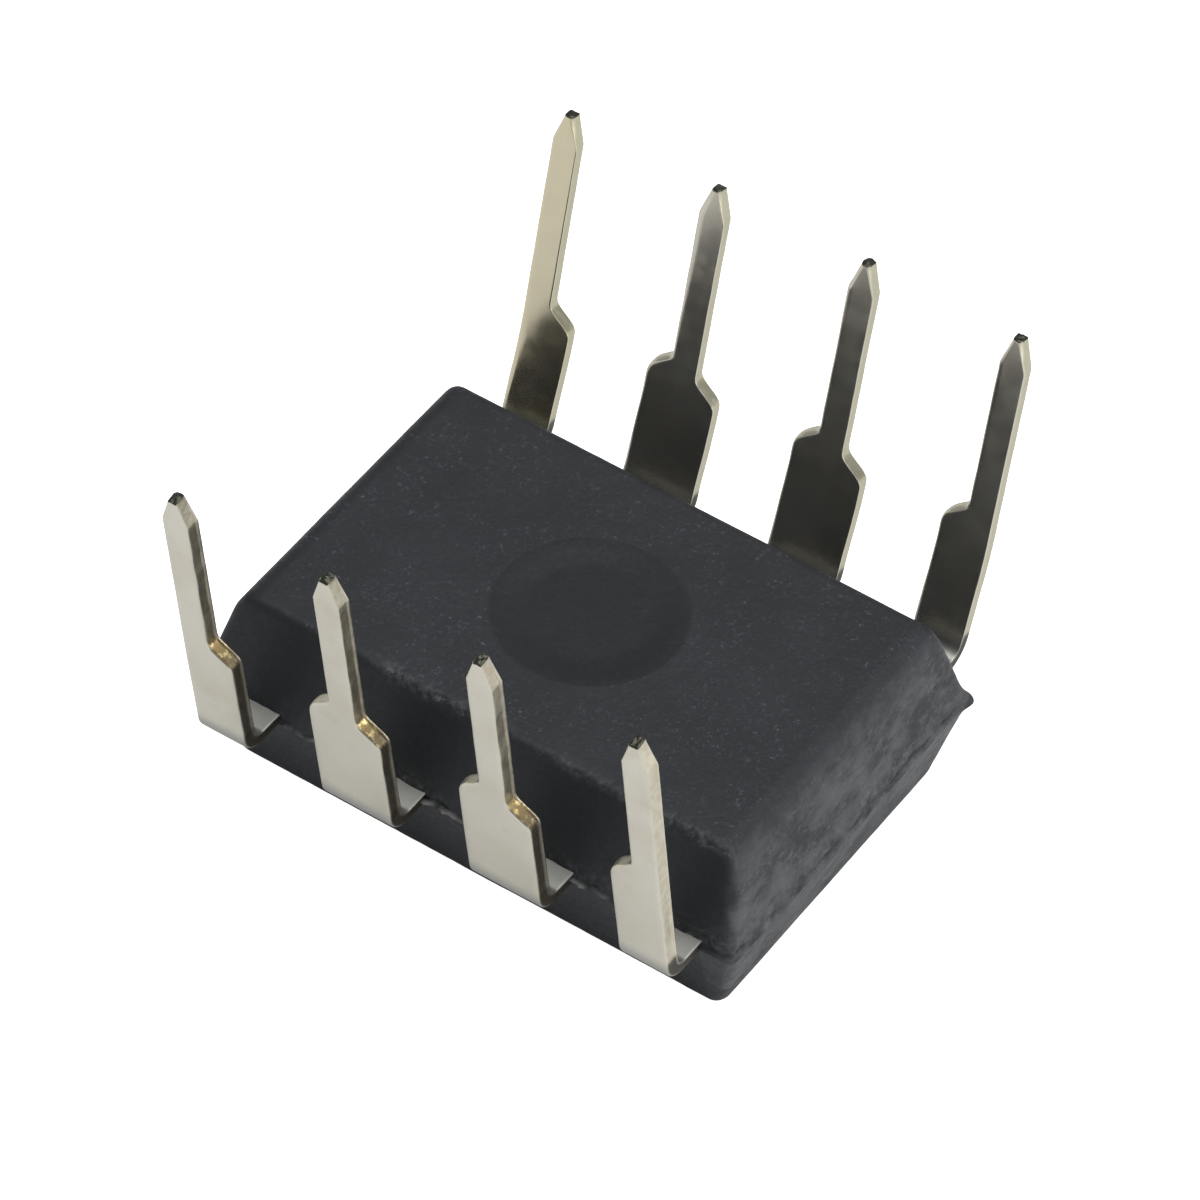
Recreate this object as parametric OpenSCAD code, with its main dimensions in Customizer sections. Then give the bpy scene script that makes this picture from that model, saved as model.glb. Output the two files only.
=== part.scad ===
// Eight-lead dual in-line package (DIP), 2.54 mm pitch.
//
// It lies on its marking face with its leads pointing up, as it rests on a bench.
// X runs along the two rows of leads, Y across them, and Z = 0 is the marking face.
// The stamped lead frame lies in the parting plane, halfway up the moulded body. The die
// hangs under its pad, on the side of the marking face, and gold wires join it to the leads.

/* [Package] */
// Pitch of the leads along each row
lead_pitch = 2.54; // [2.1:0.01:3.1]
// Distance from the last lead's centre line to the end of the body
end_margin = 0.79; // [0.65:0.01:1]
// Width of the body at the parting plane
package_width = 6.26; // [5.2:0.02:7.6]
// Height of the body, from its marking face to its underside
package_height = 3.3; // [2.7:0.05:4]
// Draft of the two ends, in degrees
end_draft = 12.6; // [5:0.2:16]
// Draft of the two sides that carry the leads, in degrees
side_draft = 16.4; // [5:0.2:20]
// Radius of the edges around the marking face and the underside
edge_radius = 0.12; // [0.05:0.01:0.25]
// Radius of the body's four upright corners, which a flat stands for here
corner_radius = 0.15; // [0.05:0.01:0.3]
// Diameter of the round ejector mark on the underside
mark_diameter = 2.92; // [2:0.02:3.6]
// Depth of the ejector mark
mark_depth = 0.04; // [0.02:0.01:0.15]
// Radius of the orientation notch in the marking face
notch_radius = 0.76; // [0.4:0.02:1]
// Depth of the orientation notch
notch_depth = 0.5; // [0.2:0.05:0.7]

/* [Leads] */
// Thickness of the lead-frame sheet
lead_thickness = 0.24; // [0.19:0.01:0.3]
// Width of the narrow pin that enters the board
pin_width = 0.45; // [0.36:0.01:0.56]
// Width of the shoulder of a lead that has one on both sides
shoulder_width = 1.22; // [1:0.01:1.5]
// Distance from the body's side to a leg's outer face, at the parting plane
lead_reach = 0.75; // [0.62:0.01:1]
// Inside radius of the bend
bend_radius = 0.22; // [0.15:0.01:0.3]
// Outward splay of the legs, in degrees
splay = 10.2; // [0:0.2:15]
// Gap from the underside to the shoulders' stops, which is the seating plane
standoff = 0.41; // [0.38:0.01:0.8]
// Drop of the slope across a shoulder, from the pin to its outer corner
shoulder_drop = 0.26; // [0.1:0.01:0.4]
// How much higher a shoulder's rounded -X side starts than its sharp +X side
rounded_rise = 0.24; // [0.1:0.01:0.35]
// Length of the pin from the seating plane to its tip, measured upright
pin_length = 3.53; // [2.9:0.01:4.3]
// Length of the pointed tip, measured upright
tip_length = 0.46; // [0.2:0.01:0.7]
// Width of the pin at its very tip
tip_width = 0.16; // [0.1:0.01:0.3]
// Thickness of the pin at its very tip
tip_thickness = 0.2; // [0.1:0.01:0.24]

/* [Inside] */
// Length of the die pad, along the rows
pad_length = 2.9; // [2.4:0.05:3.5]
// Width of the die pad, across the rows
pad_width = 2.3; // [1.9:0.05:2.7]
// Width of the tie bars that held the pad in its frame
tie_bar_width = 0.4; // [0.3:0.01:0.5]
// Gap between the pad and the lead fingers, and between the fingers and the tie bars
finger_gap = 0.28; // [0.2:0.01:0.33]
// Width of the lead fingers near the pad
finger_width = 0.6; // [0.4:0.01:0.72]
// Depth to which a shoulder's full width reaches into the body
anchor_depth = 0.7; // [0.5:0.01:0.8]
// Length of the die, along the rows
die_length = 1.9; // [1.4:0.05:2.2]
// Width of the die, across the rows
die_width = 1.5; // [1.2:0.05:1.8]
// Thickness of the die
die_thickness = 0.28; // [0.2:0.01:0.36]
// Thickness of the adhesive layer under the die
attach_thickness = 0.03; // [0.02:0.005:0.05]
// Border of adhesive that shows around the die
attach_border = 0.06; // [0.03:0.01:0.1]
// Diameter of a bond wire
wire_diameter = 0.05; // [0.04:0.005:0.06]
// Diameter of the ball that welds a wire to the die
ball_diameter = 0.1; // [0.08:0.01:0.12]
// Height of that ball
ball_height = 0.03; // [0.02:0.005:0.04]
// Straight rise of a wire above its ball
wire_rise = 0.1; // [0.06:0.01:0.16]
// Radius of the bend at the top of a wire's loop
loop_radius = 0.1; // [0.06:0.01:0.14]

/* [Hidden] */

leads_in_row = 4;
last_lead_x = (leads_in_row - 1) / 2 * lead_pitch;
half_length = last_lead_x + end_margin;
half_width = package_width / 2;
parting_z = package_height / 2;
sheet_low = parting_z - lead_thickness / 2;
sheet_high = parting_z + lead_thickness / 2;
// Half length of the marking face, where the sloping end meets it
face_half_length = half_length - parting_z * tan(end_draft);
// An upright corner's reach along the diagonal, and its draft there
corner_reach = (half_length + half_width) / sqrt(2) - corner_radius * (sqrt(2) - 1);
corner_draft = atan((tan(end_draft) + tan(side_draft)) / sqrt(2));

// The bend's outer radius, and its axis, set so that the leg's outer face passes lead_reach
// from the body's side at the parting plane.
bend_outer = bend_radius + lead_thickness;
bend_z = sheet_high + bend_radius;
leg_foot_z = bend_z - bend_outer * sin(splay);
bend_y = half_width + lead_reach - bend_outer * cos(splay)
    + (leg_foot_z - parting_z) * tan(splay);

// Heights along the leg, from the end of the bend
seat_z = package_height + standoff;
leg_stop = (seat_z - leg_foot_z) / cos(splay);
leg_tip = (seat_z + pin_length - leg_foot_z) / cos(splay);
leg_taper = leg_tip - tip_length / cos(splay);

// Where the fingers end beside the pad
finger_end_x = pad_length / 2 + finger_gap;
finger_end_y = pad_width / 2 + finger_gap;
end_finger_low = tie_bar_width / 2 + finger_gap;
anchor_y = half_width - anchor_depth;

// Where the wires start on the die and end on the fingers
bond_inset = 0.16;
stitch_inset = 0.25;
die_face = attach_thickness + die_thickness;
wire_top = die_face + ball_height + wire_rise;

corner_steps = 6;
round_facets = 96;
wire_facets = 24;
// Cutting shapes reach this far past what they cut
over = 1;

black = "#2b2d30";
tin = "#c9c5b9";
copper = "#b87a4b";
adhesive = "#b9b9b4";
silicon = "#5c6068";
gold = "#d9a93f";

// Lead n counts from 1 at the notch, along the +Y row and back along the -Y row.
function lead_row(n) = n <= leads_in_row ? 1 : -1;
function lead_x(n) = lead_row(n) * ((n <= leads_in_row ? n : n - leads_in_row)
    - (leads_in_row + 1) / 2) * lead_pitch;
function is_end(n) = abs(lead_x(n)) > lead_pitch;
// An end lead has no shoulder on the side that faces the body's end.
function left_half(n) = (is_end(n) && lead_x(n) < 0 ? pin_width : shoulder_width) / 2;
function right_half(n) = (is_end(n) && lead_x(n) > 0 ? pin_width : shoulder_width) / 2;

function reversed(points) = [for (i = [len(points) - 1 : -1 : 0]) points[i]];
function mirrored(points) = [for (p = points) [-p.x, p.y]];
function upside_down(points) = [for (p = points) [p.x, package_height - p.y]];

// The round upper corner of a drafted section, from the sloping side to the flat face
function corner_arc(half, draft) =
    let (centre_y = package_height - edge_radius,
         centre_x = half - (edge_radius + (centre_y - parting_z) * sin(draft)) / cos(draft))
    [for (i = [0 : corner_steps])
        let (a = draft + (90 - draft) * i / corner_steps)
        [centre_x + edge_radius * cos(a), centre_y + edge_radius * sin(a)]];

module drafted_section(half, draft) {
    arc = corner_arc(half, draft);
    polygon(concat(
        [[half, parting_z]],
        arc,
        reversed(mirrored(arc)),
        [[-half, parting_z]],
        upside_down(mirrored(arc)),
        reversed(upside_down(arc))
    ));
}

// A drafted section, drawn out level along its own X, Y or diagonal direction
module drafted_slab(half, draft, direction) {
    rotate([0, 0, direction])
        rotate([90, 0, 0])
            linear_extrude(height = 4 * half_length, center = true)
                drafted_section(half, draft);
}

module moulded_shape() {
    intersection() {
        drafted_slab(half_length, end_draft, 0);
        drafted_slab(half_width, side_draft, 90);
        drafted_slab(corner_reach, corner_draft, 45);
        drafted_slab(corner_reach, corner_draft, -45);
    }
}

module package_body() {
    color(black)
    difference() {
        moulded_shape();
        translate([0, 0, package_height - mark_depth])
            cylinder(d = mark_diameter, h = over, $fn = round_facets);
        translate([-face_half_length, 0, -over])
            cylinder(r = notch_radius, h = over + notch_depth, $fn = round_facets);
        for (n = [1 : 2 * leads_in_row]) {
            lead(n);
            bond_wire(n);
        }
        die_pad();
        die_attach();
        die();
    }
}

// The rounded -X side of a shoulder, from the slope round to the upright edge at the stop
function rounded_shoulder(left) =
    let (turn = 90 - atan(shoulder_drop / (left - pin_width / 2)),
         radius = rounded_rise / tan(turn / 2))
    [for (i = [0 : corner_steps])
        let (a = 180 - turn * (1 - i / corner_steps))
        [radius - left + radius * cos(a), leg_stop + radius * sin(a)]];

// The stamped outline of a leg, with x across it and y along it from the end of the bend
module leg_outline(n) {
    left = left_half(n);
    right = right_half(n);
    pin = pin_width / 2;
    right_side = right > pin ? [[right, leg_stop], [pin, leg_stop + shoulder_drop]] : [];
    left_side = left > pin
        ? concat([[-pin, leg_stop + shoulder_drop + rounded_rise]], rounded_shoulder(left))
        : [];
    polygon(concat(
        [[-left, 0], [right, 0]],
        right_side,
        [[pin, leg_taper], [tip_width / 2, leg_tip], [-tip_width / 2, leg_tip], [-pin, leg_taper]],
        left_side
    ));
}

// The section along a leg, which its tip narrows on both faces
module leg_section() {
    tip_inset = (lead_thickness - tip_thickness) / 2;
    polygon([
        [0, 0],
        [leg_taper, 0],
        [leg_tip, tip_inset],
        [leg_tip, lead_thickness - tip_inset],
        [leg_taper, lead_thickness],
        [0, lead_thickness]
    ]);
}

module leg(n) {
    translate([0, bend_y, bend_z])
        rotate([90 - splay, 0, 0])
            translate([0, 0, -bend_outer])
                intersection() {
                    linear_extrude(height = lead_thickness)
                        leg_outline(n);
                    rotate([90, 0, 90])
                        linear_extrude(height = 2 * shoulder_width, center = true)
                            leg_section();
                }
}

module bend(n) {
    translate([0, bend_y, bend_z])
        rotate([0, 90, 0])
            rotate_extrude(angle = 90 - splay, $fn = round_facets)
                translate([bend_radius, -left_half(n)])
                    square([lead_thickness, left_half(n) + right_half(n)]);
}

// A middle lead's flat part: the anchor inside the wall, then a finger that runs to the pad
module straight_finger(n) {
    translate([-left_half(n), anchor_y])
        square([left_half(n) + right_half(n), bend_y - anchor_y]);
    translate([-finger_width / 2, finger_end_y])
        square([finger_width, bend_y - finger_end_y]);
}

// An end lead's flat part, drawn for x > 0: it runs in beside the body's end and turns
// to the end of the pad, clear of the tie bar.
module turned_finger(n) {
    outer = pin_width / 2;
    inner = -shoulder_width / 2;
    pad_side = finger_end_x - abs(lead_x(n));
    polygon([
        [outer, bend_y],
        [inner, bend_y],
        [inner, anchor_y],
        [outer - finger_width, anchor_y - (outer - finger_width - inner)],
        [outer - finger_width, end_finger_low + finger_width],
        [pad_side, end_finger_low + finger_width],
        [pad_side, end_finger_low],
        [outer, end_finger_low]
    ]);
}

module flat_part(n) {
    translate([0, 0, sheet_low])
        linear_extrude(height = lead_thickness)
            if (is_end(n))
                mirror([lead_x(n) < 0 ? 1 : 0, 0])
                    turned_finger(n);
            else
                straight_finger(n);
}

module lead(n) {
    color(tin)
    mirror([0, lead_row(n) < 0 ? 1 : 0, 0])
        translate([lead_x(n), 0, 0])
            union() {
                flat_part(n);
                bend(n);
                leg(n);
            }
}

// The tie bars are trimmed flush with the ends, where their faces slope inwards.
tie_bar_end = half_length - lead_thickness / 2 * tan(end_draft);

module die_pad() {
    color(copper)
    translate([0, 0, sheet_low])
        linear_extrude(height = lead_thickness)
            union() {
                square([pad_length, pad_width], center = true);
                square([2 * tie_bar_end, tie_bar_width], center = true);
            }
}

// Places its children under the lead frame, with their own Z pointing at the marking face
module under_frame() {
    translate([0, 0, sheet_low])
        mirror([0, 0, 1])
            children();
}

module die_attach() {
    color(adhesive)
    under_frame()
        translate([0, 0, attach_thickness / 2])
            cube([die_length + 2 * attach_border, die_width + 2 * attach_border,
                attach_thickness], center = true);
}

module die() {
    color(silicon)
    under_frame()
        translate([0, 0, attach_thickness + die_thickness / 2])
            cube([die_length, die_width, die_thickness], center = true);
}

// A wire's two ends in plan
function bond_point(n) =
    let (sx = sign(lead_x(n)), sy = lead_row(n))
    is_end(n)
        ? [sx * (die_length / 2 - bond_inset), sy * die_width / 5]
        : [sx * die_length / 4, sy * (die_width / 2 - bond_inset)];
function stitch_point(n) =
    let (sx = sign(lead_x(n)), sy = lead_row(n))
    is_end(n)
        ? [sx * (finger_end_x + stitch_inset), sy * (end_finger_low + finger_width / 2)]
        : [lead_x(n), sy * (finger_end_y + stitch_inset)];

// A wire rises from its ball, bends over at the top and runs straight down to its finger.
// The straight stretch is the tangent from the stitch to the bend's circle, its slope
// rounded to a hundredth of a degree, and the finger's face cuts it off.
module bond_wire(n) {
    start = bond_point(n);
    span = stitch_point(n) - start;
    reach = norm(span);
    to_centre = norm([reach - loop_radius, wire_top]);
    exact_slope = atan2(wire_top, reach - loop_radius) + asin(loop_radius / to_centre);
    slope = round(100 * exact_slope) / 100;
    slant = sqrt(pow(to_centre, 2) - pow(loop_radius, 2));
    ball_top = die_face + ball_height;
    color(gold)
    under_frame()
        translate([start.x, start.y, 0])
            rotate([0, 0, atan2(span.y, span.x)])
                difference() {
                    union() {
                        translate([0, 0, die_face])
                            cylinder(d = ball_diameter, h = ball_height, $fn = wire_facets);
                        translate([0, 0, ball_top])
                            wire_length(wire_top - ball_top);
                        translate([loop_radius, 0, wire_top]) {
                            rotate([90, 0, 0])
                                rotate_extrude(angle = 90 + slope, start = 90 - slope,
                                    $fn = round_facets)
                                    translate([loop_radius, 0])
                                        circle(d = wire_diameter, $fn = wire_facets);
                            rotate([0, slope, 0])
                                translate([0, 0, loop_radius])
                                    rotate([0, 90, 0])
                                        wire_length(slant + wire_diameter);
                        }
                    }
                    translate([reach, 0, -over / 2])
                        cube([over, over, over], center = true);
                }
}

module wire_length(length) {
    cylinder(d = wire_diameter, h = length, $fn = wire_facets);
}

package_body();
lead(1);  // lead_1
lead(2);  // lead_2
lead(3);  // lead_3
lead(4);  // lead_4
lead(5);  // lead_5
lead(6);  // lead_6
lead(7);  // lead_7
lead(8);  // lead_8
die_pad();
die_attach();
die();
bond_wire(1);  // bond_wire_1
bond_wire(2);  // bond_wire_2
bond_wire(3);  // bond_wire_3
bond_wire(4);  // bond_wire_4
bond_wire(5);  // bond_wire_5
bond_wire(6);  // bond_wire_6
bond_wire(7);  // bond_wire_7
bond_wire(8);  // bond_wire_8
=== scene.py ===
"""Looks for an upside-down dual in-line chip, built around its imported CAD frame.

Lengths in this file are in millimetres, and a mesh becomes metres when it is made.
"""

import math

import bpy
import numpy as np
from mathutils import Matrix, Vector


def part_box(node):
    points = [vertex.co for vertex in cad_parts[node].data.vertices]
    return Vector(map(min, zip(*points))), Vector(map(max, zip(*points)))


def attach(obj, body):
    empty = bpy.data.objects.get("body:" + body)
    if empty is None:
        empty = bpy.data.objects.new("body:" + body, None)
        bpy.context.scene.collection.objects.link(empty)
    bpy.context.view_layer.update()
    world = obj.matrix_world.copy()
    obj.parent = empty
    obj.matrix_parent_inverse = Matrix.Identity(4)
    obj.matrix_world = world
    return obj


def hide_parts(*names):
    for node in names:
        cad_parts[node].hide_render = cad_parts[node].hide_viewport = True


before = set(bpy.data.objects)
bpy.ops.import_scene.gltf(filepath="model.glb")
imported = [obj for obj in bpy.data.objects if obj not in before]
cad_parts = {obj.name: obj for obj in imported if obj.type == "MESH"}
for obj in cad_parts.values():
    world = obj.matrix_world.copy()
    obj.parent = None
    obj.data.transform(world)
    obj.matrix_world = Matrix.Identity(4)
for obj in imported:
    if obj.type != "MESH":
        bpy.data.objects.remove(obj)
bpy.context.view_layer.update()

MM = 0.001


def box_mm(node):
    low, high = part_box(node)
    return np.array(low) / MM, np.array(high) / MM


# ---- Sizes that the frame gives ----
_, BODY_HIGH = box_mm("package_body")
HALF_LENGTH = BODY_HIGH[0]
HALF_WIDTH = BODY_HIGH[1]
HEIGHT = BODY_HIGH[2]
PARTING = HEIGHT / 2
PAD_LOW, PAD_HIGH = box_mm("die_pad")
SHEET_LOW = PAD_LOW[2]
THICKNESS = PAD_HIGH[2] - PAD_LOW[2]
MIDDLE_LOW, MIDDLE_HIGH = box_mm("lead_3")
END_LOW, END_HIGH = box_mm("lead_4")
PITCH = MIDDLE_LOW[0] + MIDDLE_HIGH[0]
SHOULDER_HALF = (MIDDLE_HIGH[0] - MIDDLE_LOW[0]) / 2
PIN_HALF = END_HIGH[0] - 1.5 * PITCH
FINGER_END = MIDDLE_LOW[1]
LEAD_TOP = MIDDLE_HIGH[2]

# ---- Driving sizes, as in the CAD part ----
END_DRAFT = math.radians(12.6)
SIDE_DRAFT = math.radians(16.4)
EDGE_RADIUS = 0.12
CORNER_RADIUS = 0.15
MARK_RADIUS = 1.46
MARK_DEPTH = 0.04
NOTCH_RADIUS = 0.76
NOTCH_DEPTH = 0.5
LEAD_REACH = 0.75
BEND_RADIUS = 0.22
SPLAY = math.radians(10.2)
STANDOFF = 0.41
SHOULDER_DROP = 0.26
ROUNDED_RISE = 0.24
TIP_LENGTH = 0.46
TIP_HALF = 0.08
TIP_THICKNESS = 0.2
FINGER_WIDTH = 0.6
ANCHOR_DEPTH = 0.7
FINGER_GAP = 0.28
TIE_BAR_HALF = 0.2

# ---- Sizes that only the looks have ----
# Rounding of the body's edges over its ends, and how far the ends curve in up there
END_EDGE_RADIUS = 0.2
END_CROWN = 0.1
# How far handling has pushed each row of pins sideways
ROW_LEAN = {1: 0.09, -1: -0.02}
# Cells along and across the body's flat faces
FACE_GRID = (184, 126)
# How far from the parting plane the walls' rows lie close together, and how many rows
FINE_BAND = 0.36
FINE_ROWS = 16
COARSE_ROWS = 20
EDGE_ROWS = 6
# Spacing of a lead's sections, at its shoulders and elsewhere
FINE_STEP = 0.011
COARSE_STEP = 0.04
# Share of a stamped edge's thickness where the burr or the rolled corner starts
BURR_START = 0.75

# ---- Sizes that follow from the others ----
BEND_OUTER = BEND_RADIUS + THICKNESS
BEND_Z = SHEET_LOW + BEND_OUTER
BEND_TURN = math.pi / 2 - SPLAY
FOOT_Z = BEND_Z - BEND_OUTER * math.sin(SPLAY)
BEND_Y = (HALF_WIDTH + LEAD_REACH - BEND_OUTER * math.cos(SPLAY)
          + (FOOT_Z - PARTING) * math.tan(SPLAY))
BEND_LENGTH = BEND_TURN * (BEND_RADIUS + THICKNESS / 2)
LEG_STOP = (HEIGHT + STANDOFF - FOOT_Z) / math.cos(SPLAY)
TIP_INSET = (THICKNESS - TIP_THICKNESS) / 2
LEG_TIP = (LEAD_TOP - (THICKNESS - TIP_INSET) * math.sin(SPLAY) - FOOT_Z) / math.cos(SPLAY)
LEG_TAPER = LEG_TIP - TIP_LENGTH / math.cos(SPLAY)
ANCHOR_Y = HALF_WIDTH - ANCHOR_DEPTH


# ---- Noise, whose last argument is always its seed ----
def hashed(ix, iy, iz, seed):
    h = (ix * 374761393 + iy * 668265263 + iz * 2147483647 + seed * 144269504) & 0xFFFFFFFF
    h = ((h ^ (h >> 13)) * 1274126177) & 0xFFFFFFFF
    h = ((h ^ (h >> 16)) * 2246822519) & 0xFFFFFFFF
    return ((h ^ (h >> 15)) & 0xFFFFFF) / 0xFFFFFF


def noise(points, size, seed):
    """Smooth value noise from -1 to 1, whose cells are size across."""
    p = np.asarray(points, float) / size + 1000.0
    cell = np.floor(p).astype(np.int64)
    f = p - cell
    f = f * f * (3 - 2 * f)
    total = 0.0
    for corner in range(8):
        bits = (corner & 1, corner >> 1 & 1, corner >> 2 & 1)
        weight = 1.0
        for axis in range(3):
            weight = weight * (f[:, axis] if bits[axis] else 1 - f[:, axis])
        ids = [cell[:, axis] + bits[axis] for axis in range(3)]
        total = total + weight * hashed(*ids, seed)
    return 2 * total - 1


def rough(points, size, seed, octaves=3):
    total, scale, weight = 0.0, 1.0, 0.0
    for octave in range(octaves):
        total = total + noise(points, size * scale, seed + octave) * scale
        weight += scale
        scale *= 0.5
    return total / weight


def smooth_step(low, high, value):
    t = np.clip((value - low) / (high - low), 0, 1)
    return t * t * (3 - 2 * t)


def bump(value, centre, width):
    return np.exp(-((value - centre) / width) ** 2)


# ---- Meshes ----
def band_faces(rows, count):
    """The quads between neighbouring rings of points, with count points in each."""
    faces = []
    for row in range(rows - 1):
        for k in range(count):
            n = (k + 1) % count
            faces.append((row * count + k, row * count + n,
                          (row + 1) * count + n, (row + 1) * count + k))
    return faces


def make_object(name, points, faces, attributes=None):
    mesh = bpy.data.meshes.new(name)
    mesh.from_pydata((np.asarray(points) * MM).tolist(), [], faces)
    for key, values in (attributes or {}).items():
        layer = mesh.attributes.new(key, "FLOAT", "POINT")
        layer.data.foreach_set("value", np.asarray(values, np.float32))
    mesh.polygons.foreach_set("use_smooth", [True] * len(mesh.polygons))
    mesh.update()
    piece = bpy.data.objects.new(name, mesh)
    bpy.context.scene.collection.objects.link(piece)
    return piece


def sharpen(piece, degrees):
    """Marks the edges sharper than an angle, so that smooth shading stops there."""
    piece.data.set_sharp_from_angle(angle=math.radians(degrees))


def place(piece, nodes, material):
    piece.data.materials.clear()
    piece.data.materials.append(material)
    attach(piece, "root")
    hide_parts(*nodes)


# ---- The moulded body ----
def body_halves(z, inset=0.0):
    """Half length and half width of the body at a height from the parting plane."""
    crown = END_CROWN * smooth_step(PARTING - 0.45, PARTING, abs(z)) ** 2
    return (HALF_LENGTH - abs(z) * math.tan(END_DRAFT) - inset * END_EDGE_RADIUS - crown,
            HALF_WIDTH - abs(z) * math.tan(SIDE_DRAFT) - inset * EDGE_RADIUS)


def rounded_plan(u, v, halves, radius):
    """Maps a square of -1..1 on to a rectangle with round corners."""
    p = np.stack([u * halves[0], v * halves[1]], 1)
    core = np.array(halves) - radius
    inner = np.clip(p, -core, core)
    away = p - inner
    length = np.linalg.norm(away, axis=1)
    reach = np.abs(away).max(axis=1)
    scale = np.where(length > 1e-9, reach / np.maximum(length, 1e-9), 0)
    return inner + away * scale[:, None]


def side_levels():
    """Heights from the parting plane, close together at the parting line, with the
    share of the rounded edge's inset at each."""
    wall_top = PARTING - EDGE_RADIUS
    near = np.linspace(0, FINE_BAND, FINE_ROWS + 1)
    far = np.linspace(FINE_BAND, wall_top, COARSE_ROWS + 1)[1:]
    levels = [(z, 0.0) for z in np.concatenate([near, far])]
    for step in range(1, EDGE_ROWS + 1):
        a = math.pi / 2 * step / EDGE_ROWS
        levels.append((wall_top + EDGE_RADIUS * math.sin(a), 1 - math.cos(a)))
    lower = [(-z, inset) for z, inset in reversed(levels[1:])]
    return lower + levels


def body_mesh():
    """Rings of points up the sides, closed by a grid over each flat face."""
    u, v = np.meshgrid(*(np.linspace(-1, 1, cells + 1) for cells in FACE_GRID), indexing="ij")
    grid = np.arange(u.size).reshape(u.shape)
    rim = np.concatenate([grid[:-1, 0], grid[-1, :-1], grid[:0:-1, -1], grid[0, :0:-1]])
    u, v = u.ravel(), v.ravel()
    levels = side_levels()
    points = []
    for z, inset in levels:
        plan = rounded_plan(u[rim], v[rim], body_halves(z, inset), CORNER_RADIUS)
        points.append(np.column_stack([plan, np.full(len(rim), z)]))
    count = len(rim)
    faces = band_faces(len(levels), count)
    start = count * len(levels)
    inside = np.ones(u.size, bool)
    inside[rim] = False
    for row, (z, inset), turned in ((0, levels[0], True), (len(levels) - 1, levels[-1], False)):
        plan = rounded_plan(u[inside], v[inside], body_halves(z, inset), CORNER_RADIUS)
        points.append(np.column_stack([plan, np.full(inside.sum(), z)]))
        index = np.empty(u.size, int)
        index[inside] = start + np.arange(inside.sum())
        index[rim] = row * count + np.arange(count)
        start += int(inside.sum())
        index = index.reshape(grid.shape)
        quads = np.stack([index[:-1, :-1], index[1:, :-1], index[1:, 1:], index[:-1, 1:]], -1)
        quads = quads.reshape(-1, 4)
        faces.extend(map(tuple, (quads[:, ::-1] if turned else quads).tolist()))
    return np.concatenate(points), faces


def outward(p):
    """Which way the surface faces at points of the plain body, from its nearest wall."""
    halves = np.stack([HALF_LENGTH - np.abs(p[:, 2]) * math.tan(END_DRAFT),
                       HALF_WIDTH - np.abs(p[:, 2]) * math.tan(SIDE_DRAFT)], 1)
    gap_end = halves[:, 0] - np.abs(p[:, 0])
    gap_side = halves[:, 1] - np.abs(p[:, 1])
    gap_top = PARTING - np.abs(p[:, 2])
    weight = np.exp(-np.stack([gap_end, gap_side, gap_top], 1) / 0.03)
    way = weight * np.sign(p)
    return way / np.maximum(np.linalg.norm(way, axis=1), 1e-9)[:, None]


def parting_line(p):
    """How far above the parting plane the ragged line between the halves runs."""
    along = np.column_stack([p[:, 0], p[:, 1], np.zeros(len(p))])
    scallops = 0.09 * np.abs(noise(along, 0.34, 65)) * at_side(p)
    return (0.045 + 0.055 * rough(along, 0.28, 61) * (1 - at_side(p))
            + 0.02 * noise(along, 0.09, 67) - scallops)


def at_end(p):
    return smooth_step(HALF_LENGTH - 0.75, HALF_LENGTH - 0.5, p[:, 0])


def at_side(p):
    return smooth_step(HALF_WIDTH - 0.75, HALF_WIDTH - 0.5, -p[:, 1]) * (1 - at_end(p))


def gate_scar(p):
    """The oval where the gate broke off the +X end."""
    return at_end(p) * bump(p[:, 1] - 0.9 * p[:, 2], 0.45, 0.42) * bump(p[:, 2], 0.3, 0.3)


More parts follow.
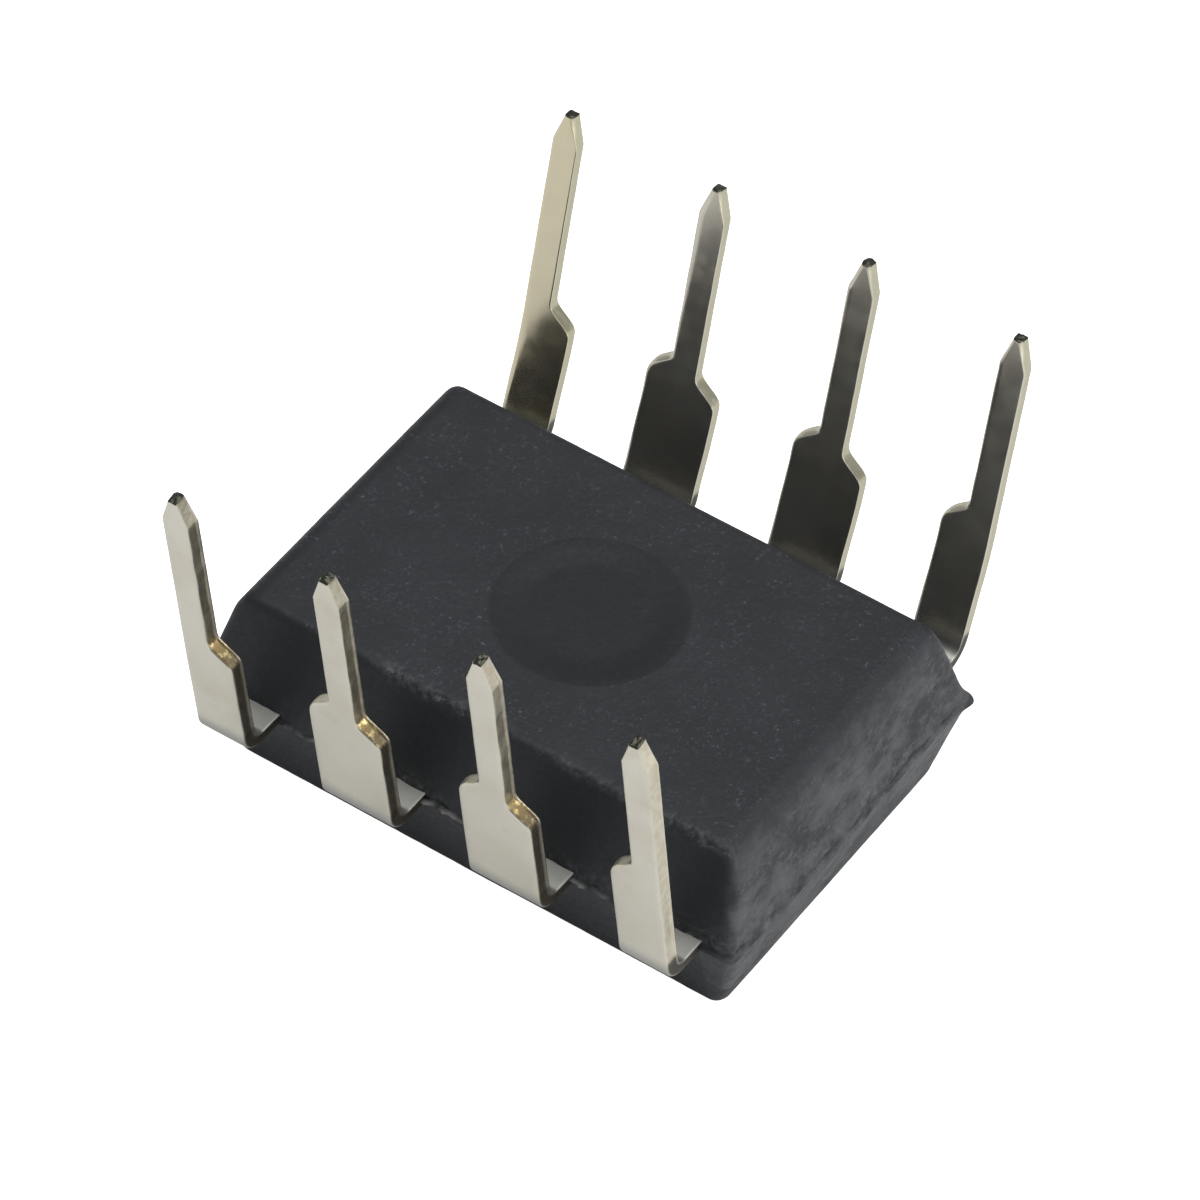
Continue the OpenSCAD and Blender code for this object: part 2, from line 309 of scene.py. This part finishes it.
def moulding_marks(p):
    """How far each point of the body stands out or in, with how much it is scuffed, on
    the flash and in the groove."""
    line = p[:, 2] - parting_line(p)
    out = 0.006 * rough(p, 0.9, 3) + 0.003 * rough(p, 0.14, 11)

    # The halves meet in a ledge with a groove over it, and flash stands along it.
    tie_bar = bump(p[:, 1], 0, 0.4) * bump(line, 0, 0.2)
    ragged = np.clip(0.4 + 1.4 * rough(p * [1, 1, 0.2], 0.2, 21), 0, 1.2)
    out += 0.016 * (1 - smooth_step(-0.01, 0.02, line)) * smooth_step(-0.7, 0, line)
    out += (0.024 + 0.03 * at_side(p)) * ragged * bump(line, 0, 0.026)
    # This mask also carries the painted shade in the groove, which the material colours almost
    # black.
    groove = bump(line, 0.055, 0.026) * np.clip(0.25 + rough(p, 0.22, 25) * 2.2, 0, 1)
    out -= 0.035 * groove * (1 - tie_bar)
    out += 0.03 * tie_bar

    # The strip above it is pitted, more in some places than in others.
    strip = smooth_step(0.03, 0.1, line) * (1 - smooth_step(0.22, 0.5, line))
    patch = np.clip(0.45 + 1.6 * rough(p, 0.9, 33), 0.1, 1)
    pits = np.minimum(rough(p, 0.11, 31), 0.15)
    out += 0.045 * strip * patch * pits

    # Chips along the upper side edge
    rim = HALF_WIDTH - PARTING * math.tan(SIDE_DRAFT)
    edge = bump(-p[:, 1], rim, 0.13) * smooth_step(PARTING - 0.22, PARTING - 0.02, p[:, 2])
    worn = smooth_step(-0.35, 0.2, rough(p * [1, 0.2, 1], 1.1, 43))
    worn = worn * smooth_step(-3.2, -2.2, p[:, 0])
    chips = np.clip(rough(p, 0.12, 41), 0, 1) * worn
    out -= 0.11 * edge * chips

    scar = gate_scar(p)
    out -= 0.05 * scar * (0.5 + rough(p, 0.16, 51))
    scuffed = edge * worn * (0.4 + 3.2 * chips)
    scuffed += strip * patch * (0.3 + 1.3 * np.clip(rough(p, 0.1, 71), 0, 1))
    scuffed += scar * np.clip(rough(p, 0.09, 53), 0, 1) * 1.6
    flash = bump(line, 0, 0.03) * ragged * (0.25 + at_side(p))
    return out, np.clip(scuffed, 0, 1), np.clip(flash, 0, 1), np.clip(groove, 0, 1)


def end_painted_light(p, facing):
    """Painted light on the +X end: how much paler it is painted where it faces +X, for light from
    the right, and over the whole lower half, for a painted reflection of the floor. It fades in
    below its upper edge.
    """
    face_end = HALF_LENGTH - PARTING * math.tan(END_DRAFT)
    upper = smooth_step(face_end - 0.2, face_end + 0.24, p[:, 0])
    faced = facing[:, 0] + 0.35 * (p[:, 0] > face_end - 0.2)
    return np.where(p[:, 2] > 0, upper, 1.0) * smooth_step(0.05, 0.7, faced)


def corner_nub(p):
    """A nub of flash at the far corner of the +X end, as a sideways move."""
    corner = np.array([HALF_LENGTH, HALF_WIDTH]) - CORNER_RADIUS / 2
    near = np.exp(-((p[:, :2] - corner) ** 2).sum(1) / 0.17 ** 2)
    tall = np.where(p[:, 2] > 0, bump(p[:, 2], 0.02, 0.17), bump(p[:, 2], 0.02, 0.1))
    swell = bump(p[:, 2], PARTING - 0.35, 0.4)
    return (near * (tall * 0.12 + swell * 0.09))[:, None] * np.array([0.8, 0.35])


def ejector_mark(p, wall):
    """1 inside the round mark on the upper face, 0 outside, with a wall this wide."""
    distance = np.hypot(p[:, 0], p[:, 1])
    inside = 1 - smooth_step(MARK_RADIUS - wall, MARK_RADIUS + 0.02, distance)
    return inside * (p[:, 2] > PARTING - 1e-4)


def notch_cutter():
    """A round bar with a domed end, which cuts the notch in the -X end's lower edge."""
    sides, profile = 72, [(-1, 1.0), (0.8, 1.0), (0.9, 0.985), (0.96, 0.95), (1, 0.88)]
    face_end = HALF_LENGTH - PARTING * math.tan(END_DRAFT)
    points = []
    for height, scale in profile:
        for k in range(sides):
            a = 2 * math.pi * k / sides
            points.append((-face_end + NOTCH_RADIUS * scale * math.cos(a),
                           NOTCH_RADIUS * scale * math.sin(a), NOTCH_DEPTH * height))
    faces = [tuple(range(sides - 1, -1, -1)),
             tuple(range((len(profile) - 1) * sides, len(profile) * sides))]
    return make_object("notch_cutter", points, faces + band_faces(len(profile), sides))


def cut_away(piece, cutter):
    cut = piece.modifiers.new("cut", "BOOLEAN")
    cut.operation = "DIFFERENCE"
    cut.solver = "MANIFOLD"
    cut.object = cutter
    bpy.context.view_layer.objects.active = piece
    bpy.ops.object.modifier_apply(modifier=cut.name)
    bpy.data.objects.remove(cutter)


def make_body():
    points, faces = body_mesh()
    out, scuffed, flash, groove = moulding_marks(points)
    facing = outward(points)
    moved = points + facing * out[:, None]
    moved[:, :2] += corner_nub(points)
    moved[:, 2] += PARTING - MARK_DEPTH * ejector_mark(points, 0.6)
    piece = make_object("moulded_body", moved, faces, {
        "scuffed": scuffed, "mark": ejector_mark(points, 0.04), "flash": flash,
        "groove": groove, "end": end_painted_light(points, facing),
        "skin": smooth_step(0.2, 0.8, np.abs(facing[:, 2]))})
    cut_away(piece, notch_cutter())
    sharpen(piece, 50)
    return piece


# ---- Leads ----
def lead_path(s, w):
    """Where a lead's section is, in y and z: s runs along it from the start of the bend,
    and w goes into it from its outer face."""
    s, w = np.broadcast_arrays(np.asarray(s, float), np.asarray(w, float))
    turn = np.clip(s / BEND_LENGTH, 0, 1) * BEND_TURN
    radius = BEND_OUTER - w
    y = BEND_Y + radius * np.sin(turn)
    z = BEND_Z - radius * np.cos(turn)
    flat = np.minimum(s, 0)
    leg = np.maximum(s - BEND_LENGTH, 0)
    return y + flat + leg * math.sin(SPLAY), z + leg * math.cos(SPLAY)


def side_outline(shouldered, rounded):
    """One side of a stamped leg as (distance along it, half width)."""
    ending = [(LEG_TAPER, PIN_HALF), (LEG_TIP, TIP_HALF)]
    if not shouldered:
        return [(0, PIN_HALF)] + ending
    outline = [(0, SHOULDER_HALF)]
    run = SHOULDER_HALF - PIN_HALF
    if rounded:
        turn = math.pi / 2 - math.atan(SHOULDER_DROP / run)
        radius = ROUNDED_RISE / math.tan(turn / 2)
        steps = 12
        for step in range(steps + 1):
            a = turn * step / steps
            outline.append((LEG_STOP + radius * math.sin(a),
                            SHOULDER_HALF - radius * (1 - math.cos(a))))
        outline.append((LEG_STOP + SHOULDER_DROP + ROUNDED_RISE, PIN_HALF))
    else:
        outline += [(LEG_STOP, SHOULDER_HALF), (LEG_STOP + SHOULDER_DROP, PIN_HALF)]
    return outline + ending


def finger_outlines(end_lead):
    """The flat part inside the body as two outlines, of its side towards the body's
    middle and its other side, each as (distance from the bend, half width)."""
    anchor = ANCHOR_Y - BEND_Y
    if not end_lead:
        half = FINGER_WIDTH / 2
        side = [(FINGER_END - BEND_Y, half), (anchor - 0.02, half), (anchor, SHOULDER_HALF)]
        return side, side
    low = TIE_BAR_HALF + FINGER_GAP - BEND_Y
    turn = low + FINGER_WIDTH
    reach = 1.5 * PITCH - END_LOW[0]
    neck = FINGER_WIDTH - PIN_HALF
    slant = SHOULDER_HALF - neck
    inner = [(low, reach), (turn, reach), (turn + 0.02, neck),
             (anchor - slant, neck), (anchor, SHOULDER_HALF)]
    return inner, [(low, PIN_HALF)]


def stations(start):
    """Where a lead's sections are, from the inner end of its flat part to its tip: along
    the bent sheet, and along the leg with the bend left out."""
    shoulder_low, shoulder_high = LEG_STOP - 0.1, LEG_STOP + SHOULDER_DROP + ROUNDED_RISE + 0.1
    leg = np.concatenate([
        np.arange(COARSE_STEP, shoulder_low, COARSE_STEP),
        np.arange(shoulder_low, shoulder_high, FINE_STEP),
        np.arange(shoulder_high, LEG_TAPER - 0.1, COARSE_STEP),
        np.linspace(LEG_TAPER - 0.1, LEG_TIP, 44),
    ])
    flat = np.arange(start, -0.03, COARSE_STEP)
    curve = np.linspace(0, BEND_LENGTH, 25)
    s = np.concatenate([flat, curve, BEND_LENGTH + leg])
    along = np.concatenate([flat, np.zeros(len(curve)), leg])
    return s, along


def softened(along, outline):
    """Half widths at the stations, with the outline's corners rounded over a length
    that is longest at the shoulders."""
    size = np.where(along > 0, 0.13, 0.01)
    size = np.where(along > LEG_TAPER - 0.5, 0.035, size)
    distance, width = zip(*outline)
    offsets = np.linspace(-1, 1, 11)
    weights = np.exp(-2 * offsets ** 2)
    total = sum(weight * np.interp(along + size * offset, distance, width)
                for weight, offset in zip(weights, offsets))
    return total / weights.sum()


# The sections of a stamped edge from the outer face round to the inner one, as
# (share of the thickness, move out, how much it is cut metal). On the +X side a burr
# flares out at the inner face, and on the -X side that face rolls over.
FLARED_EDGE = (
    (0.00, -0.030, 0.0), (0.03, -0.013, 0.1), (0.10, -0.003, 0.5), (0.20, 0.000, 1.0),
    (0.35, 0.000, 1.0), (0.50, 0.000, 1.0), (0.64, 0.000, 1.0), (0.76, 0.000, 1.0),
    (0.80, 0.003, 0.9), (0.90, 0.019, 0.6), (0.97, 0.022, 0.4), (1.00, 0.016, 0.2),
    (1.00, -0.012, 0.0),
)
ROLLED_EDGE = (
    (0.00, -0.045, 0.0), (0.03, -0.022, 0.1), (0.10, -0.007, 0.5), (0.20, 0.000, 1.0),
    (0.36, 0.000, 1.0), (0.50, 0.000, 1.0), (0.64, -0.002, 1.0), (0.74, -0.008, 0.8),
    (0.84, -0.020, 0.5), (0.91, -0.038, 0.3), (0.96, -0.060, 0.1), (0.99, -0.085, 0.0),
    (1.00, -0.115, 0.0),
)
FACE_CELLS = 12


def ring(left, right, s, low, taper, flare):
    """One section of a lead: its outer face, +X edge, inner face and -X edge. Along the
    taper the inner face narrows faster than the pin does."""
    reach = THICKNESS - low
    grow = 1 - 0.55 * taper
    inner_grow = 1 - 0.25 * taper
    rows = []

    def moved(share, out, narrowing):
        if share <= BURR_START:
            return out * grow
        scaled = out * flare if out > 0 else out * inner_grow
        return scaled - narrowing * (share - BURR_START) / (1 - BURR_START)

    def face(start, end, share, first):
        for k in range(first, FACE_CELLS):
            f = k / FACE_CELLS
            rows.append((start * (1 - f) + end * f, low + share * reach, 0.0))

    bevel = 0.045 * taper
    face(-left - ROLLED_EDGE[0][1] * grow, right + FLARED_EDGE[0][1] * grow, 0, 0)
    for share, out, cut in FLARED_EDGE:
        rows.append((right + moved(share, out, bevel), low + share * reach, cut))
    face(rows[-1][0], -left - moved(1, ROLLED_EDGE[-1][1], 0), 1, 1)
    for share, out, cut in reversed(ROLLED_EDGE[1:]):
        rows.append((-left - moved(share, out, 0), low + share * reach, cut))
    return [(x, s, w, cut) for x, w, cut in rows]


def lead_rings(left_outline, right_outline, flare):
    s_values, along = stations(left_outline[0][0])
    left = softened(along, left_outline)
    right = softened(along, right_outline)
    taper = np.clip((along - LEG_TAPER) / (LEG_TIP - LEG_TAPER), 0, 1)
    rings = []
    for s, a, b, t in zip(s_values, left, right, taper):
        rings.append(ring(a, b, s, TIP_INSET * t, t, flare))
    return np.array(rings)


def close_tip(rings):
    """Adds the small domed end of the pin, which the cut left dark and uneven."""
    last = rings[-1]
    centre = last[:, :3].mean(0)
    caps = []
    for scale, lift in ((0.95, 0.012), (0.82, 0.022), (0.6, 0.026), (0.35, 0.028), (0.15, 0.028)):
        cap = last.copy()
        cap[:, :3] = centre + (last[:, :3] - centre) * [scale, 1, scale]
        cap[:, 1] = last[:, 1] + lift
        cap[:, 3] = 2.0
        caps.append(cap)
    return np.concatenate([rings, np.array(caps)])


def roughen(points, seed):
    """Uneven cut edges, and faces that aren't quite flat."""
    x, s, w, cut = points.T
    p = np.column_stack([x, s, w])
    sheared = np.clip(cut, 0, 1)
    side = np.sign(x) * sheared
    x = x + side * (0.004 * rough(p * [1, 1, 1.6], 0.09, seed)
                    + 0.006 * noise(p * [0.2, 1, 0.2], 0.35, seed + 5))
    w = w + 0.003 * (1 - sheared) * noise(p * [1, 0.5, 0.2], 0.6, seed + 9)
    s = s + np.where(cut > 1.5, 0.035 * rough(p, 0.07, seed + 13), 0)
    shoulder = bump(s - BEND_LENGTH, LEG_STOP + SHOULDER_DROP / 2, 0.22) * sheared
    lumps = rough(p, 0.08, seed + 17)
    s = s + 0.012 * shoulder * lumps
    return x, s, w, shoulder


def edge_shade_between_leads(x, s, near):
    """Painted shade on the +X edge where it faces the next lead: how dark it is painted, fully
    below the shoulders and a quarter as much above.
    """
    below = 1 - smooth_step(BEND_LENGTH + LEG_STOP, BEND_LENGTH + LEG_STOP + 0.3, s)
    return (0.25 + 0.75 * below) * (x > 0) * near


def tube_faces(rings, count, inside_out):
    """A closed tube through rings of count points, turned over for the +Y row."""
    faces = band_faces(rings, count)
    faces.append(tuple(range(count - 1, -1, -1)))
    faces.append(tuple((rings - 1) * count + k for k in range(count)))
    return [face[::-1] for face in faces] if inside_out else faces


def make_lead(number):
    """Leads 1 to 4 run along the +Y row, and 5 to 8 back along the -Y row."""
    row = 1 if number <= 4 else -1
    column = number - 1 if number <= 4 else 8 - number
    left, right = side_outline(column > 0, True), side_outline(column < 3, False)
    middle_side, other_side = finger_outlines(column in (0, 3))
    if column < 2:
        left, right = other_side + left, middle_side + right
    else:
        left, right = middle_side + left, other_side + right
    rings = close_tip(lead_rings(left, right, 1 if row < 0 else 0.4))
    flat = rings.reshape(-1, 4)
    x, s, w, shoulder = roughen(flat, 100 * number)
    # The shoulder mask carries that tint with its painted glints: full on the +X shoulders, 0.3
    # on the -X ones, and 0.15 of that on the +Y row.
    shoulder = shoulder * np.where(x > 0, 1.0 * (column < 3), 0.3 * (column > 0))
    shoulder = shoulder * (1 if row < 0 else 0.15)
    y, z = lead_path(s, w)
    lean = ROW_LEAN[row] * smooth_step(0, BEND_LENGTH + LEG_STOP, s)
    points = np.column_stack([x + (column - 1.5) * PITCH + lean, y * row, z])
    faces = tube_faces(len(rings), rings.shape[1], row > 0)
    return make_object(f"formed_lead_{number}", points, faces,
                       {"cut": flat[:, 3], "shoulder": shoulder,
                        "far": np.full(len(x), 1.0 * (row > 0)),
                        "warm": np.full(len(x), 1.0 * (number == 1)),
                        "between_lead_shade": edge_shade_between_leads(x, s, row < 0 and column < 3),
                        "exit": 1 - smooth_step(BEND_LENGTH * 0.8, BEND_LENGTH * 1.5, s)})


# ---- Materials ----
class Nodes:
    """Short ways to add and link shader nodes."""

    def __init__(self, name):
        self.material = bpy.data.materials.new(name)
        self.material.use_nodes = True
        self.tree = self.material.node_tree
        self.tree.nodes.clear()
        output = self.tree.nodes.new("ShaderNodeOutputMaterial")
        self.shader = self.tree.nodes.new("ShaderNodeBsdfPrincipled")
        self.link(self.shader.outputs[0], output.inputs["Surface"])
        self.position = self.tree.nodes.new("ShaderNodeTexCoord").outputs["Object"]

    def link(self, source, target):
        self.tree.links.new(source, target)

    def put(self, socket, value):
        if hasattr(value, "links"):
            self.link(value, socket)
        elif isinstance(value, tuple) and len(value) == 3 and socket.type == "RGBA":
            socket.default_value = (*value, 1)
        else:
            socket.default_value = value

    def noise(self, scale, detail=4.0, roughness=0.5, stretch=(1, 1, 1)):
        mapping = self.tree.nodes.new("ShaderNodeMapping")
        mapping.inputs["Scale"].default_value = stretch
        self.link(self.position, mapping.inputs["Vector"])
        node = self.tree.nodes.new("ShaderNodeTexNoise")
        self.link(mapping.outputs[0], node.inputs["Vector"])
        node.inputs["Scale"].default_value = scale / MM
        node.inputs["Detail"].default_value = detail
        node.inputs["Roughness"].default_value = roughness
        return node.outputs["Fac"]

    def ramp(self, value, low, high, start=0.0, end=1.0):
        node = self.tree.nodes.new("ShaderNodeMapRange")
        node.interpolation_type = "SMOOTHSTEP"
        self.put(node.inputs["Value"], value)
        node.inputs["From Min"].default_value = low
        node.inputs["From Max"].default_value = high
        node.inputs["To Min"].default_value = start
        node.inputs["To Max"].default_value = end
        return node.outputs["Result"]

    def math(self, operation, a, b=0.0):
        node = self.tree.nodes.new("ShaderNodeMath")
        node.operation = operation
        self.put(node.inputs[0], a)
        self.put(node.inputs[1], b)
        return node.outputs[0]

    def mix(self, factor, a, b):
        node = self.tree.nodes.new("ShaderNodeMix")
        node.data_type = "RGBA"
        self.put(node.inputs["Factor"], factor)
        self.put(node.inputs["A"], a)
        self.put(node.inputs["B"], b)
        return node.outputs["Result"]

    def attribute(self, name):
        node = self.tree.nodes.new("ShaderNodeAttribute")
        node.attribute_name = name
        return node.outputs["Fac"]

    def bump(self, height, strength, distance):
        node = self.tree.nodes.new("ShaderNodeBump")
        node.inputs["Strength"].default_value = strength
        node.inputs["Distance"].default_value = distance * MM
        self.link(height, node.inputs["Height"])
        self.link(node.outputs[0], self.shader.inputs["Normal"])


def compound_material():
    """Black epoxy with silica filler: a matt, finely speckled skin."""
    n = Nodes("moulding_compound")
    grain = n.noise(13, detail=3, roughness=0.65)
    blotch = n.noise(0.8, detail=3)
    busy = n.ramp(n.noise(1.6, detail=4, roughness=0.65), 0.4, 0.62, 0.15, 1)
    mark = n.attribute("mark")
    end = n.attribute("end")
    plain = n.math("MULTIPLY", n.ramp(mark, 0, 1, 1, 0.15), n.attribute("skin"))
    specks = n.ramp(n.noise(15, detail=3, roughness=0.7), 0.53, 0.70)
    specks = n.math("MULTIPLY", n.math("MULTIPLY", specks, busy), plain)
    flecks = n.ramp(n.noise(15, detail=2, roughness=0.6), 0.68, 0.78)
    flecks = n.math("MULTIPLY", n.math("MULTIPLY", flecks, busy), plain)
    base = n.mix(n.ramp(blotch, 0.3, 0.7), (0.0125, 0.0145, 0.0180), (0.0165, 0.0185, 0.0225))
    base = n.mix(n.math("MULTIPLY", mark, 0.95), base, (0.0052, 0.0080, 0.0098))
    # Painted light: the +X end is painted paler, for light from the right and, over its lower
    # half, for a reflection of the floor, with clouds and scratches in that paler tone.
    clouds = n.ramp(n.noise(2.2, detail=5, roughness=0.7, stretch=(1, 0.6, 1)), 0.35, 0.65)
    pale = n.mix(clouds, (0.014, 0.016, 0.018), (0.068, 0.071, 0.077))
    scratches = n.ramp(n.noise(9, detail=4, roughness=0.75, stretch=(1, 0.5, 1)), 0.52, 0.7)
    pale = n.mix(n.math("MULTIPLY", scratches, 0.6), pale, (0.12, 0.123, 0.13))
    base = n.mix(end, base, pale)
    base = n.mix(n.math("MULTIPLY", specks, 0.65), base, (0.064, 0.070, 0.083))
    base = n.mix(n.math("MULTIPLY", flecks, 0.7), base, (0.12, 0.125, 0.135))
    broken = n.math("MULTIPLY", n.attribute("scuffed"),
                    n.ramp(n.noise(10, detail=3, roughness=0.7), 0.44, 0.62, 0.1, 1))
    base = n.mix(n.math("MULTIPLY", broken, 0.75), base, (0.115, 0.118, 0.128))
    base = n.mix(n.math("MULTIPLY", n.attribute("flash"), 0.8), base, (0.26, 0.26, 0.255))
    # Painted shade: the groove is coloured almost black.
    base = n.mix(n.math("MULTIPLY", n.attribute("groove"), 0.95), base, (0.003, 0.003, 0.004))
    n.put(n.shader.inputs["Base Color"], base)
    n.put(n.shader.inputs["Roughness"], n.ramp(grain, 0.3, 0.7, 0.5, 0.62))
    n.shader.inputs["Specular IOR Level"].default_value = 0.4
    height = n.math("ADD", n.math("MULTIPLY", grain, n.ramp(plain, 0, 1, 0.35, 1)),
                    n.math("MULTIPLY", n.math("ADD", specks, flecks), 0.5))
    n.bump(height, 0.5, 0.014)
    return n.material


def tin_material():
    """Tin-plated copper alloy: satin faces and warmer, rougher sheared edges."""
    n = Nodes("tinned_lead")
    cut = n.attribute("cut")
    sheared = n.ramp(cut, 0.2, 0.9)
    broken = n.ramp(cut, 1.1, 1.7)
    leaving = n.attribute("exit")
    shoulder = n.ramp(n.attribute("shoulder"), 0.15, 0.7)
    cloud = n.noise(1.1, detail=2)
    tarnish = n.ramp(n.noise(1.9, detail=4, roughness=0.6), 0.56, 0.74, 0, 0.35)
    face = n.mix(n.ramp(cloud, 0.35, 0.65), (0.625, 0.59, 0.50), (0.665, 0.635, 0.55))
    face = n.mix(tarnish, face, (0.54, 0.48, 0.36))
    edge = n.mix(n.ramp(n.noise(6, detail=3), 0.4, 0.6), (0.54, 0.49, 0.36), (0.62, 0.585, 0.47))
    # The shoulder tint is the cut copper's own brown with painted glints: the bright gold lumps
    # are painted glints.
    lumps = n.ramp(n.noise(11, detail=3, roughness=0.6), 0.5, 0.66)
    gold = n.mix(lumps, (0.26, 0.185, 0.08), (0.86, 0.70, 0.34))
    face = n.mix(n.math("MULTIPLY", n.attribute("warm"), 0.6), face, (0.70, 0.62, 0.40))
    edge = n.mix(n.math("MULTIPLY", n.attribute("far"), 0.8), edge, (0.47, 0.455, 0.32))
    colour = n.mix(n.math("MULTIPLY", sheared, 0.9), face, edge)
    colour = n.mix(shoulder, colour, gold)
    flat = n.math("MULTIPLY", leaving, n.ramp(sheared, 0, 1, 0.8, 0))
    colour = n.mix(flat, colour, (0.34, 0.35, 0.335))
    # Painted shade and painted reflection: the cut sides are darkened where the leads leave the
    # body, for the shade there and the dark body they reflect.
    exit_side_shade = n.math("MULTIPLY", n.math("MULTIPLY", n.ramp(leaving, 0, 0.5), sheared), 0.93)
    colour = n.mix(exit_side_shade, colour, (0.05, 0.047, 0.04))
    # Painted shade on the +X edges that face the next lead.
    between_lead_shade = n.math("MULTIPLY", n.math("MULTIPLY", n.attribute("between_lead_shade"), sheared), 0.8)
    colour = n.mix(between_lead_shade, colour, (0.085, 0.075, 0.055))
    colour = n.mix(broken, colour, (0.075, 0.075, 0.06))
    n.put(n.shader.inputs["Base Color"], colour)
    n.shader.inputs["Metallic"].default_value = 0.93
    rough_face = n.ramp(n.noise(3, detail=2), 0.35, 0.65, 0.2, 0.26)
    rough_more = n.math("ADD", n.math("MULTIPLY", sheared, 0.14),
                        n.math("MULTIPLY", leaving, 0.22))
    n.put(n.shader.inputs["Roughness"], n.math("ADD", rough_face, rough_more))
    n.bump(n.math("MULTIPLY", n.noise(12, detail=3, stretch=(1, 1, 0.5)), sheared), 0.2, 0.01)
    return n.material


def plain_metal(name, dark, light, roughness, metallic=1.0, scale=6.0):
    n = Nodes(name)
    n.put(n.shader.inputs["Base Color"], n.mix(n.ramp(n.noise(scale), 0.35, 0.65), dark, light))
    n.put(n.shader.inputs["Roughness"],
          n.ramp(n.noise(scale * 2), 0.3, 0.7, roughness, roughness + 0.12))
    n.shader.inputs["Metallic"].default_value = metallic
    n.bump(n.noise(scale * 3), 0.15, 0.004)
    return n.material


def dress_hidden_nodes():
    """Better materials on the CAD solids that the moulding hides."""
    copper = plain_metal("copper_pad", (0.60, 0.29, 0.17), (0.72, 0.40, 0.25), 0.3)
    paste = plain_metal("die_adhesive", (0.42, 0.42, 0.40), (0.60, 0.60, 0.57), 0.5, 0.6)
    silicon = plain_metal("silicon", (0.09, 0.10, 0.12), (0.14, 0.15, 0.18), 0.18, 0.8)
    gold = plain_metal("gold_wire", (0.78, 0.52, 0.16), (0.90, 0.66, 0.26), 0.22)
    dress = {"die_pad": copper, "die_attach": paste, "die": silicon}
    dress.update({f"bond_wire_{k}": gold for k in range(1, 9)})
    for node, material in dress.items():
        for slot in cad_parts[node].material_slots:
            slot.material = material


# ---- Studio ----
def make_floor():
    """A pale plain floor, lit a little by itself and white where the camera sees it."""
    size = 3000.0
    bpy.ops.mesh.primitive_grid_add(x_subdivisions=4, y_subdivisions=4, size=size * MM,
                                    location=(0, 0, -0.01 * MM))
    floor = bpy.context.object
    floor.name = "studio_floor"
    n = Nodes("studio_floor")
    n.shader.inputs["Base Color"].default_value = (0.8, 0.8, 0.8, 1)
    n.shader.inputs["Roughness"].default_value = 0.9
    n.shader.inputs["Emission Color"].default_value = (1, 1, 1, 1)
    seen = n.tree.nodes.new("ShaderNodeLightPath").outputs["Is Camera Ray"]
    n.put(n.shader.inputs["Emission Strength"], n.ramp(seen, 0, 1, 0.12, 0.98))
    floor.data.materials.append(n.material)


def area_light(name, way, distance, size, watts):
    light = bpy.data.lights.new(name, "AREA")
    light.shape = "DISK"
    light.size = size * MM
    light.energy = watts
    lamp = bpy.data.objects.new(name, light)
    bpy.context.scene.collection.objects.link(lamp)
    way = Vector(way).normalized()
    centre = Vector((0, 0, PARTING))
    lamp.location = (centre + way * distance) * MM
    lamp.rotation_euler = way.to_track_quat("Z", "Y").to_euler()


def make_lights():
    world = bpy.data.worlds.new("studio")
    bpy.context.scene.world = world
    world.use_nodes = True
    tree = world.node_tree
    background = tree.nodes["Background"]
    background.inputs["Color"].default_value = (0.97, 0.985, 1, 1)
    background.inputs["Strength"].default_value = 0.3
    white = tree.nodes.new("ShaderNodeBackground")
    white.inputs["Color"].default_value = (1, 1, 1, 1)
    path = tree.nodes.new("ShaderNodeLightPath")
    mix = tree.nodes.new("ShaderNodeMixShader")
    tree.links.new(path.outputs["Is Camera Ray"], mix.inputs[0])
    tree.links.new(background.outputs[0], mix.inputs[1])
    tree.links.new(white.outputs[0], mix.inputs[2])
    tree.links.new(mix.outputs[0], tree.nodes["World Output"].inputs[0])
    area_light("overhead", (0.05, 0.15, 1), 260, 240, 0.42)
    area_light("back_right", (0.64, 0.33, 0.66), 260, 170, 0.11)
    area_light("right", (1, 0.15, 0.28), 240, 160, 0.2)


def make_camera():
    """The photograph's view: a long lens from above the -Y side."""
    azimuth, elevation, roll = (math.radians(a) for a in (31.421, 47.026, 3.533))
    distance, lens = 119.464, 251.37
    target = Vector((-0.019, 0.302, 3.247))
    back = Vector((math.sin(azimuth) * math.cos(elevation),
                   -math.cos(azimuth) * math.cos(elevation), math.sin(elevation)))
    right = Vector((math.cos(azimuth), math.sin(azimuth), 0))
    up = back.cross(right)
    turned_right = right * math.cos(roll) + up * math.sin(roll)
    turned_up = up * math.cos(roll) - right * math.sin(roll)
    data = bpy.data.cameras.new("camera")
    data.sensor_width = 36
    data.lens = lens
    data.clip_start = 0.001
    data.clip_end = 20
    camera = bpy.data.objects.new("camera", data)
    bpy.context.scene.collection.objects.link(camera)
    rows = [(turned_right[k], turned_up[k], back[k], (target[k] + back[k] * distance) * MM)
            for k in range(3)]
    camera.matrix_world = Matrix((*rows, (0, 0, 0, 1)))
    bpy.context.scene.camera = camera


def main():
    make_camera()
    make_lights()
    make_floor()
    bpy.context.scene.view_settings.view_transform = "Standard"
    body = make_body()
    place(body, ["package_body"], compound_material())
    tin = tin_material()
    for number in range(1, 9):
        lead = make_lead(number)
        place(lead, [f"lead_{number}"], tin)
    dress_hidden_nodes()


main()
